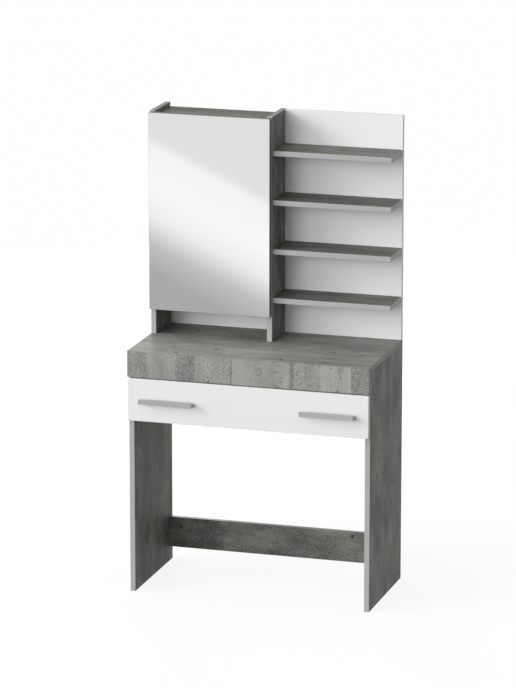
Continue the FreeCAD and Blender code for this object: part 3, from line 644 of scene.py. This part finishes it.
PEG = ((0, 0.6, 0, -1), (0, 0.95, 0, -0.94), (0, 0.95, 0, -0.02), (1, 0, 0, 0), (1, 0, 0.86, 0),
       (0.86, 0, 1, 0), (0.2, 0, 1, 0))
PEG_HEAD = 7 * MM
PEG_RADIUS = 2.4 * MM
zinc_steel = make_plated_steel("zinc_steel", (0.62, 0.63, 0.64), 0.32)
cabinet_middle = (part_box("left_upright")[0].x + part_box("partition")[1].x) / 2
fittings("shelf_peg_set", "shelf_pegs", "table", "zinc_steel", turned_tree("pegs", PEG, zinc_steel),
         lambda centre: (1 if centre.x < cabinet_middle else -1, 0, 0), PEG_HEAD,
         **{"Shank Radius": PEG_RADIUS})

# Shelf back
# A white board stands behind the open shelves and carries them. It is covered on faces and edges
# with a plain white foil that has a very fine pearl grain.
WHITE = (0.86, 0.848, 0.857)


def make_white_foil(name, colour, roughness):
    finish = Finish(name)
    pearl = finish.clouds((700.0, 700.0, 700.0), detail=2.0)
    drift = finish.clouds((5.0, 5.0, 5.0), detail=2.0)
    finish.relief(pearl, 0.05 * MM, 0.35)
    return finish.wear(finish.shades(finish.blend((pearl, 0.2), (drift, 0.5)), colour, 0.975, 1.015),
                       finish.level(pearl, 0.3, 0.7, roughness - 0.05, roughness + 0.05))


white_foil = make_white_foil("white_foil", WHITE, 0.42)
panel("shelf_back_panel", "shelf_back", "table", "white_laminate", ALONG_Z, white_foil, white_foil,
      raw=("-z",))

# Open shelves
# Four short boards stick out from the shelf back and the partition, free at their right end. The
# strip on their edges is lighter than the printed foil.
OPEN_SHELVES = 4
for count in range(OPEN_SHELVES):
    node = f"open_shelf_{count + 1}"
    panel(node + "_panel", node, "table", "grey_laminate", ALONG_X, shelf_foil, grey_edging,
          raw=("-x", "+y"))

# Hutch and shelf screws
# Long coarse screws with flat heads and a hexagon socket hold the hutch to the desk top from
# below, and the open shelves to their back from behind.
FLAT_SCREW = ((0, 0.15, 0, -1), (0, 0.7, 0, -0.9), (0, 0.7, 0, -0.06), (0.66, 0, -0.5, 0),
              (1, 0, 0.2, 0), (1, 0, 0.75, 0), (0.94, 0, 1, 0), (0.3, 0, 1, 0))
FLAT_HEAD = 1 * MM
flat_screw_tree = turned_tree("flat_screws", FLAT_SCREW, zinc_steel, "hexagon")
flat_screw_sizes = {"Shank Radius": 3.2 * MM, "Recess Width": 2.3 * MM, "Recess Depth": 0.8 * MM}
fittings("hutch_screw_set", "hutch_screws", "table", "zinc_steel", flat_screw_tree,
         lambda centre: (0, 0, -1), FLAT_HEAD, **flat_screw_sizes)
fittings("shelf_screw_set", "shelf_screws", "table", "zinc_steel", flat_screw_tree,
         lambda centre: (0, 1, 0), FLAT_HEAD, **flat_screw_sizes)

# Cabinet back
# A thin hardboard sheet closes the cabinet and the niche below it. Its front is lacquered white,
# and its rear and edges are bare brown fibre.


def make_brown_fibre():
    finish = Finish("brown_fibre")
    fibres = finish.clouds((500.0, 500.0, 500.0), detail=4.0, grit=0.65)
    drift = finish.clouds((7.0, 7.0, 7.0), detail=2.0)
    colour = finish.tones(
        finish.blend((fibres, 0.7), (drift, 0.5)),
        (0.20, (0.170, 0.095, 0.047)),
        (0.80, (0.300, 0.185, 0.100)),
    )
    finish.relief(fibres, 0.1 * MM, 0.5)
    return finish.wear(colour, finish.level(fibres, 0.3, 0.7, 0.62, 0.78))


brown_fibre = make_brown_fibre()
white_lacquer = make_white_foil("white_lacquer", WHITE, 0.5)
panel("cabinet_back_sheet", "cabinet_back", "table", "white_hardboard", ALONG_Z, white_lacquer,
      brown_fibre, rear=brown_fibre)

# Back nails
# Small steel nails, driven in from behind, hold the hardboard to the rear edges of the boards
# around it. Their flat heads lie on the brown fibre.
NAIL = ((0, 0.1, 0, -1), (0, 1, 0, -0.86), (0, 1, 0, -0.01), (1, 0, 0, 0), (1, 0, 0.7, 0),
        (0.9, 0, 1, 0), (0.2, 0, 1, 0))
NAIL_HEAD = 0.5 * MM
NAIL_RADIUS = 0.8 * MM
fittings("back_nail_set", "back_nails", "table", "zinc_steel", turned_tree("nails", NAIL, zinc_steel),
         lambda centre: (0, 1, 0), NAIL_HEAD, **{"Shank Radius": NAIL_RADIUS})

# Cam fittings
# Cast cam discs in the boards pull the heads of steel bolts, and beech dowels beside them keep the
# joints in line. Push-in plastic covers close the bores on the visible faces.
COVER = ((0, 0.8, 0, -1), (0, 1, 0, -0.9), (0, 1, 0, -0.1), (1, 0, 0, 0), (1, 0, 0.45, 0),
         (0.97, 0, 0.8, 0), (0.9, 0, 1, 0), (0.2, 0, 1, 0))
COVER_CAP = 0.8 * MM
COVER_PLUG = 6 * MM
cover_plastic = make_moulded_plastic("cover_plastic", (0.36, 0.36, 0.355), 0.5)
cam_centres = [(low + high) / 2 for low, high in shells_of("cam_discs")]


def away_from_cam(centre):
    nearest = min(cam_centres, key=lambda cam: (cam - centre).length)
    step = centre - nearest
    axis = max(range(3), key=lambda i: abs(step[i]))
    way = [0, 0, 0]
    way[axis] = math.copysign(1, step[axis])
    return way


fittings("cam_cover_set", "cam_covers", "table", "cover_plastic",
         turned_tree("covers", COVER, cover_plastic),
         away_from_cam, COVER_CAP, **{"Shank Radius": COVER_PLUG})


def make_beech():
    finish = Finish("beech")
    rings = finish.clouds((220.0, 220.0, 220.0), detail=3.0)
    flecks = finish.clouds((1800.0, 1800.0, 1800.0), detail=1.0)
    colour = finish.tones(
        finish.blend((rings, 0.7), (flecks, 0.4)),
        (0.2, (0.420, 0.260, 0.140)),
        (0.8, (0.610, 0.430, 0.260)),
    )
    finish.relief(flecks, 0.05 * MM, 0.5)
    return finish.wear(colour, finish.level(rings, 0.3, 0.7, 0.55, 0.7))


def dress(finish, *nodes):
    """Gives CAD nodes whose shape is right their finish."""
    for node in nodes:
        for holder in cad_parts[node].material_slots:
            holder.material = finish


dress(zinc_steel, "cam_discs", "cam_bolts")
dress(make_beech(), "dowels")

# Runners
# Folded steel rails, coated white, are screwed to the legs, and matching slides carry the drawer.
# A plastic roller turns on a pin at the front of each rail and at the rear of each slide.


def make_coated_steel():
    finish = Finish("coated_steel")
    peel = finish.clouds((900.0, 900.0, 900.0), detail=2.0)
    rubbing = finish.clouds((600.0, 25.0, 600.0), detail=3.0)
    tone = finish.blend((peel, 0.3), (rubbing, 0.5))
    colour = finish.tones(tone, (0.25, (0.66, 0.66, 0.65)), (0.75, (0.76, 0.76, 0.75)))
    finish.relief(peel, 0.05 * MM, 0.5)
    return finish.wear(colour, finish.level(peel, 0.3, 0.7, 0.28, 0.40))


def towards_middle(centre):
    return (-math.copysign(1, centre.x), 0, 0)


PAN_SCREW = ((0, 0.15, 0, -1), (0, 0.9, 0, -0.8), (0, 0.9, 0, -0.02), (0.95, 0, 0, 0), (1, 0, 0.3, 0),
             (0.95, 0, 0.65, 0), (0.8, 0, 0.9, 0), (0.5, 0, 1, 0), (0.15, 0, 1, 0))
PAN_HEAD = 0.8 * MM
pan_screw_tree = turned_tree("pan_screws", PAN_SCREW, zinc_steel, "cross")
pan_screw_sizes = {"Shank Radius": 1.7 * MM, "Recess Width": 3 * MM, "Recess Depth": 0.6 * MM}
dress(make_coated_steel(),
      *(f"{side}_{part}" for side in SIDES for part in ("runner_rail", "drawer_slide")))
dress(make_moulded_plastic("roller_plastic", (0.72, 0.72, 0.70), 0.38),
      *(f"{side}_{end}_roller" for side in SIDES for end in ("front", "rear")))
dress(zinc_steel, "front_roller_pins", "rear_roller_pins")
fittings("runner_screw_set", "runner_screws", "table", "zinc_steel", pan_screw_tree, towards_middle,
         PAN_HEAD, **pan_screw_sizes)
fittings("slide_screw_set", "slide_screws", "drawer", "zinc_steel", pan_screw_tree,
         lambda centre: (0, 0, -1), PAN_HEAD, **pan_screw_sizes)

# Drawer box
# Thinner white boards make the sides and back, screwed together at the rear and drawn to the front
# with cams. The hardboard bottom lies in a groove, white side up.
BORE_SIDES = 48
BORE_ROOM = 0.1 * MM
BORE_OVERRUN = 1 * MM


def bored(piece, fitting, along, across):
    """Opens a round bore in a piece for each solid of a CAD node, as wide as the solid is across."""
    cutters = bmesh.new()
    way = Vector([float(axis == along) for axis in range(3)])
    for low, high in shells_of(fitting):
        size = high - low
        radius = size[across] / 2 + BORE_ROOM
        place = Matrix.LocRotScale((low + high) / 2, way.to_track_quat("Z", "Y"), None)
        bmesh.ops.create_cone(cutters, cap_ends=True, segments=BORE_SIDES, radius1=radius,
                              radius2=radius, depth=size[along] + 2 * BORE_OVERRUN, matrix=place)
    tool = as_object("drill", cutters, ())
    drilling = piece.modifiers.new("drilling", "BOOLEAN")
    drilling.object = tool
    drilling.solver = "EXACT"
    settle(piece)
    bpy.data.objects.remove(tool)
    return piece


def away_from_middle(centre):
    return (math.copysign(1, centre.x), 0, 0)


for side in SIDES:
    node = f"drawer_{side}_side"
    side_board = board(node + "_panel", node, ALONG_Y, white_foil, white_foil)
    keep(bored(side_board, "drawer_cam_discs", ALONG_X, ALONG_Z), "drawer", "white_laminate", node)
panel("drawer_back_panel", "drawer_back", "drawer", "white_laminate", ALONG_X, white_foil, white_foil)
panel("drawer_bottom_sheet", "drawer_bottom", "drawer", "white_hardboard", ALONG_X, brown_fibre,
      brown_fibre, rear=white_lacquer)
fittings("drawer_screw_set", "drawer_screws", "drawer", "zinc_steel", flat_screw_tree, away_from_middle,
         FLAT_HEAD, **flat_screw_sizes)
CAM = ((0, 0.9, 0, -1), (0, 1, 0, -0.95), (0, 1, 0, -0.02), (1, 0, 0, 0), (1, 0, 0.3, 0),
       (0.93, 0, 1, 0), (0.2, 0, 1, 0))
CAM_RIM = 0.3 * MM
fittings("drawer_cam_set", "drawer_cam_discs", "drawer", "zinc_steel",
         turned_tree("drawer_cams", CAM, zinc_steel, "cross"), away_from_middle, CAM_RIM,
         **{"Shank Radius": 7.2 * MM, "Recess Width": 7 * MM, "Recess Depth": 2 * MM})
dress(zinc_steel, "drawer_cam_bolts")

# Drawer front
# One white board as wide as the table covers the drawer and the legs' front edges. Its faces and
# edges have the same white foil as the shelf back.
panel("drawer_front_panel", "drawer_front", "drawer", "white_laminate", ALONG_X, white_foil, white_foil)

# Handles
# Two cast bow handles with a flat bar and a low square foot at each end, finished in satin silver.
# Machine screws from inside the drawer hold them.
HANDLE_BAR = 5 * MM
HANDLE_FOOT = 8 * MM
HANDLE_FOOT_HEIGHT = 8 * MM
HANDLE_CORNER = 2 * MM
HANDLE_CORNER_STEPS = 5
HANDLE_ARRIS = 0.5 * MM
HANDLE_SCREW_HEAD = 2.5 * MM
IN_LINE = 0.01 * MM
BENT = 1.0


def make_satin_silver():
    finish = Finish("satin_silver")
    brush = finish.clouds((30.0, 1800.0, 1800.0), detail=2.0)
    drift = finish.clouds((40.0, 40.0, 40.0), detail=2.0)
    tone = finish.blend((brush, 0.4), (drift, 0.3))
    colour = finish.tones(tone, (0.25, (0.312, 0.312, 0.321)), (0.75, (0.368, 0.368, 0.378)))
    finish.relief(brush, 0.02 * MM, 0.4)
    return finish.wear(colour, finish.level(brush, 0.3, 0.7, 0.34, 0.46), Metallic=0.75)


satin_silver = make_satin_silver()


def bow_handle(name, node):
    """A flat bar with rounded ends, and a low foot drawn out of its back at each end."""
    low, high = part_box(node)
    bar_back = low.y + HANDLE_BAR
    shape = block(low, Vector((high.x, bar_back, high.z)))
    for point, way in (((low.x + HANDLE_FOOT, 0, 0), (1, 0, 0)),
                       ((high.x - HANDLE_FOOT, 0, 0), (1, 0, 0)),
                       ((0, 0, low.z + HANDLE_FOOT_HEIGHT), (0, 0, 1))):
        bmesh.ops.bisect_plane(shape, geom=shape.verts[:] + shape.edges[:] + shape.faces[:],
                               plane_co=point, plane_no=way)
    shape.normal_update()
    roots = []
    for face in shape.faces:
        centre = face.calc_center_median()
        at_end = min(centre.x - low.x, high.x - centre.x) < HANDLE_FOOT
        at_foot = centre.z < low.z + HANDLE_FOOT_HEIGHT
        if sides_of(face) == ["+y"] and at_end and at_foot:
            roots.append(face)
    ends = bmesh.ops.extrude_discrete_faces(shape, faces=roots)["faces"]
    tips = [vertex for face in ends for vertex in face.verts]
    bmesh.ops.translate(shape, vec=(0, high.y - bar_back, 0), verts=tips)
    shape.normal_update()

    def lies_at(edge, y):
        return all(abs(vertex.co.y - y) < IN_LINE for vertex in edge.verts)

    corners = [edge for edge in shape.edges if lies_at(edge, low.y) and edge.calc_face_angle(0) > BENT
               and abs(edge.verts[0].co.x - edge.verts[1].co.x) < IN_LINE]
    bmesh.ops.bevel(shape, geom=corners, offset=HANDLE_CORNER, segments=HANDLE_CORNER_STEPS,
                    profile=0.5, affect="EDGES")
    rims = [edge for edge in shape.edges
            if edge.is_convex and edge.calc_face_angle(0) > BENT and not lies_at(edge, high.y)]
    bmesh.ops.bevel(shape, geom=rims, offset=HANDLE_ARRIS, segments=EDGE_STEPS, profile=0.5,
                    affect="EDGES")
    for face in shape.faces:
        face.smooth = len(sides_of(face)) > 1
    return keep(as_object(name, shape, (satin_silver,)), "drawer", "satin_metal", node)


for side in SIDES:
    bow_handle(f"{side}_bow_handle", f"{side}_handle")
fittings("handle_screw_set", "handle_screws", "drawer", "zinc_steel", pan_screw_tree,
         lambda centre: (0, 1, 0), HANDLE_SCREW_HEAD,
         **{"Shank Radius": 2 * MM, "Recess Width": 4.6 * MM, "Recess Depth": 1.6 * MM})

# Door
# A printed board hung on the left upright carries the mirror. Its rear shows the same foil as the
# cabinet. The strip on its edges is painted shade: darker than the other strips, standing in for the
# shade on the edges.
# The edge strip is painted shade, darker than the other edge strips.
door_panel = board("door_panel", "door_board", ALONG_Z, upright_foil,
                   make_edging("painted_shade_edging", (0.125, 0.124, 0.126)))
keep(bored(door_panel, "hinge_cups", ALONG_Y, ALONG_X), "mirror_door", "grey_laminate", "door_board")

# Mirror
# A pane of silvered float glass is glued over the whole door. Its polished edge shows the green of
# the glass.
MIRROR_ARRIS = 0.7 * MM
SILVERED, POLISHED = range(2)


def make_silvering():
    finish = Finish("silvering")
    haze = finish.clouds((9.0, 9.0, 9.0), detail=3.0)
    colour = finish.tones(haze, (0.3, (0.934, 0.930, 0.933)), (0.7, (0.942, 0.937, 0.940)))
    return finish.wear(colour, finish.level(haze, 0.3, 0.7, 0.0, 0.012), Metallic=1.0)


def make_glass_edge():
    finish = Finish("glass_edge")
    polish = finish.clouds((300.0, 300.0, 300.0), detail=2.0)
    colour = finish.tones(polish, (0.3, (0.20, 0.27, 0.25)), (0.7, (0.30, 0.37, 0.345)))
    return finish.wear(colour, finish.level(polish, 0.3, 0.7, 0.10, 0.22), Specular_IOR_Level=0.6)


def mirror_pane(name, node):
    shape = rounded_block(*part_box(node), rounding=MIRROR_ARRIS, steps=1)
    for face in shape.faces:
        face.material_index = SILVERED if sides_of(face) == ["-y"] else POLISHED
    pane = as_object(name, shape, (make_silvering(), make_glass_edge()))
    return keep(pane, "mirror_door", "mirror", node)


mirror_pane("mirror_pane", "mirror_glass")

# Hinges
# Two concealed hinges: a cup pressed into the rear of the door, an arm on a plate screwed to the
# upright, and the pin between them. Cup, arm and plate are nickel-plated, pin and screws zinc-plated.
dress(make_plated_steel("nickel_steel", (0.66, 0.65, 0.62), 0.24),
      "hinge_cups", "hinge_arms", "hinge_plates")
dress(zinc_steel, "hinge_pins")
fittings("hinge_screw_set", "hinge_screws", "table", "zinc_steel", pan_screw_tree,
         lambda centre: (1, 0, 0), PAN_HEAD, **pan_screw_sizes)
fittings("cup_screw_set", "cup_screws", "mirror_door", "zinc_steel", pan_screw_tree,
         lambda centre: (0, 1, 0), PAN_HEAD, **pan_screw_sizes)

# Door bumpers
# Two clear rubber domes soften the closing of the door. They are stuck to its rear by their flat
# backs.
DOME = ((0.98, 0, 0, 0), (1, 0, 0.25, 0), (0.96, 0, 0.5, 0), (0.84, 0, 0.75, 0), (0.62, 0, 0.92, 0),
        (0.3, 0, 1, 0))
DOME_HEIGHT = 2 * MM


def make_clear_rubber():
    finish = Finish("clear_rubber")
    haze = finish.clouds((400.0, 400.0, 400.0), detail=2.0)
    colour = finish.tones(haze, (0.3, (0.74, 0.74, 0.72)), (0.7, (0.82, 0.82, 0.80)))
    return finish.wear(colour, finish.level(haze, 0.3, 0.7, 0.25, 0.4), Transmission_Weight=0.6,
                       IOR=1.45)


fittings("door_bumper_set", "door_bumpers", "mirror_door", "clear_rubber",
         turned_tree("bumpers", DOME, make_clear_rubber()), lambda centre: (0, 1, 0), DOME_HEIGHT)

# Studio
# A white floor, an even white surround and wide soft lamps: two from the left, one each from the front
# and above, and a low one behind. A card in front glows with painted tones that only the mirror sees:
# a painted reflection.
FLOOR_HALF = 60.0
FLOOR_TONE = 0.14
FLOOR_GLOW = 0.88
SURROUND = 0.58
BACK_SIDE = math.radians(-152)
BACK_AWAY = 4.8
BACK_HEIGHT = 0.65
BACK_SIZE = 1.2
BACK_POWER = 110.0


def seen_ray(tree):
    """One for rays that show the background: from the camera, off a gloss or through glass."""
    path = tree.nodes.new("ShaderNodeLightPath")
    seen = path.outputs["Is Camera Ray"]
    for kind in ("Is Glossy Ray", "Is Transmission Ray"):
        either = tree.nodes.new("ShaderNodeMath")
        either.operation = "MAXIMUM"
        tree.links.new(seen, either.inputs[0])
        tree.links.new(path.outputs[kind], either.inputs[1])
        seen = either.outputs[0]
    return seen


def make_floor_paint():
    material = bpy.data.materials.new("floor_paint")
    material.use_nodes = True
    tree = material.node_tree
    tree.nodes.clear()
    matt = tree.nodes.new("ShaderNodeBsdfDiffuse")
    matt.inputs["Color"].default_value = (FLOOR_TONE, FLOOR_TONE, FLOOR_TONE, 1)
    glow = tree.nodes.new("ShaderNodeEmission")
    strength = tree.nodes.new("ShaderNodeMath")
    strength.operation = "MULTIPLY"
    strength.inputs[1].default_value = FLOOR_GLOW
    tree.links.new(seen_ray(tree), strength.inputs[0])
    tree.links.new(strength.outputs[0], glow.inputs["Strength"])
    both = tree.nodes.new("ShaderNodeAddShader")
    tree.links.new(matt.outputs[0], both.inputs[0])
    tree.links.new(glow.outputs[0], both.inputs[1])
    output = tree.nodes.new("ShaderNodeOutputMaterial")
    tree.links.new(both.outputs[0], output.inputs["Surface"])
    return material


def flat_sheet(name, corners, material):
    mesh = bpy.data.meshes.new(name)
    mesh.from_pydata(corners, [], [(0, 1, 2, 3)])
    mesh.materials.append(material)
    sheet = bpy.data.objects.new(name, mesh)
    bpy.context.scene.collection.objects.link(sheet)
    return sheet


flat_sheet("studio_floor", [(x * FLOOR_HALF, y * FLOOR_HALF, 0)
                            for x, y in ((-1, -1), (1, -1), (1, 1), (-1, 1))], make_floor_paint())

world = bpy.data.worlds.new("surround")
bpy.context.scene.world = world
world.use_nodes = True
sky = world.node_tree
sky.nodes.clear()
sky_light = sky.nodes.new("ShaderNodeBackground")
sky_level = sky.nodes.new("ShaderNodeMapRange")
sky_level.inputs["To Min"].default_value = SURROUND
sky_level.inputs["To Max"].default_value = 1.0
sky.links.new(seen_ray(sky), sky_level.inputs["Value"])
sky.links.new(sky_level.outputs["Result"], sky_light.inputs["Strength"])
sky.links.new(sky_light.outputs[0], sky.nodes.new("ShaderNodeOutputWorld").inputs["Surface"])


def soft_lamp(name, side, height, spread, strength):
    """A lamp far away, with its angles from the front and above the floor, and how wide it is."""
    data = bpy.data.lights.new(name, "SUN")
    data.angle = math.radians(spread)
    data.energy = strength
    lamp = bpy.data.objects.new(name, data)
    lamp.rotation_euler = (math.radians(90 - height), 0, math.radians(side))
    bpy.context.scene.collection.objects.link(lamp)


soft_lamp("left", side=-47, height=11, spread=30, strength=0.88)
soft_lamp("front", side=-14, height=9, spread=30, strength=1.06)
soft_lamp("key", side=-61, height=24, spread=20, strength=1.0)
soft_lamp("top", side=-65, height=62, spread=50, strength=0.4)

back_data = bpy.data.lights.new("back", "AREA")
back_data.size = BACK_SIZE
back_data.energy = BACK_POWER
back_lamp = bpy.data.objects.new("back", back_data)
back_lamp.location = (BACK_AWAY * math.sin(BACK_SIDE), -BACK_AWAY * math.cos(BACK_SIDE), BACK_HEIGHT)
back_lamp.rotation_euler = (math.radians(90), 0, BACK_SIDE)
back_lamp.visible_camera = False
bpy.context.scene.collection.objects.link(back_lamp)

CARD_Y = -2.5
CARD_LEFT, CARD_RIGHT = -1.22, -0.75
CARD_LOW, CARD_HIGH = 0.20, 0.94
CARD_SPARE = 0.35
CARD_SLOPE = 0.29
# The glowing tones of the painted reflection, each a place and a tone.
REFLECTION_TONES = ((0.02, 0.79), (0.105, 0.80), (0.165, 0.96), (0.38, 1.0), (0.52, 0.90), (0.66, 0.56),
              (0.80, 0.425))


def make_painted_reflection():
    """A painted reflection: light grey, a white band and darker grey, slanting down to the right.

    The card glows in these tones; each tone has its place.
    """
    finish = Finish("painted_reflection_glow")
    across = finish.tree.nodes.new("ShaderNodeSeparateXYZ")
    finish.join(finish.place, across.inputs[0])
    right = finish.level(across.outputs["X"], CARD_LEFT, CARD_RIGHT)
    right.node.clamp = False
    down = finish.level(across.outputs["Z"], CARD_HIGH, CARD_LOW)
    down.node.clamp = False
    slant = finish.combine("SUBTRACT", down, finish.combine("MULTIPLY", right, CARD_SLOPE))
    colour = finish.tones(slant, *((place, (tone, tone, tone)) for place, tone in REFLECTION_TONES))
    finish.join(colour, finish.surface.inputs["Emission Color"])
    return finish.wear((0, 0, 0, 1), Emission_Strength=1.0, Specular_IOR_Level=0.0)


card_sides = (CARD_LEFT - CARD_SPARE, CARD_RIGHT + CARD_SPARE)
card_ends = (CARD_LOW - CARD_SPARE / 2, CARD_HIGH + CARD_SPARE)
card = flat_sheet("painted_reflection_card", [(card_sides[i], CARD_Y, card_ends[j])
                                  for i, j in ((0, 0), (1, 0), (1, 1), (0, 1))], make_painted_reflection())
# Only the mirror sees the card: its glow is a painted reflection.
card.visible_camera = False
card.visible_diffuse = False
card.visible_shadow = False
card.visible_transmission = False

# Camera
# A long lens far away looks from the right and above, at the photograph's viewing angle. The colours
# are shown as they are, with no film look.
LENS = 217.086
SENSOR = 36.0
FARTHEST = 200.0
CAMERA_PLACE = (3.4947, -11.5671, 3.7490)
LOOK_DOWN = math.radians(13.89)
LOOK_LEFT = math.radians(16.904)
camera_data = bpy.data.cameras.new("camera")
camera_data.lens = LENS
camera_data.sensor_width = SENSOR
camera_data.clip_end = FARTHEST
camera = bpy.data.objects.new("camera", camera_data)
camera.location = CAMERA_PLACE
camera.rotation_euler = (math.pi / 2 - LOOK_DOWN, 0, LOOK_LEFT)
bpy.context.scene.collection.objects.link(camera)
bpy.context.scene.camera = camera
bpy.context.scene.view_settings.view_transform = "Standard"
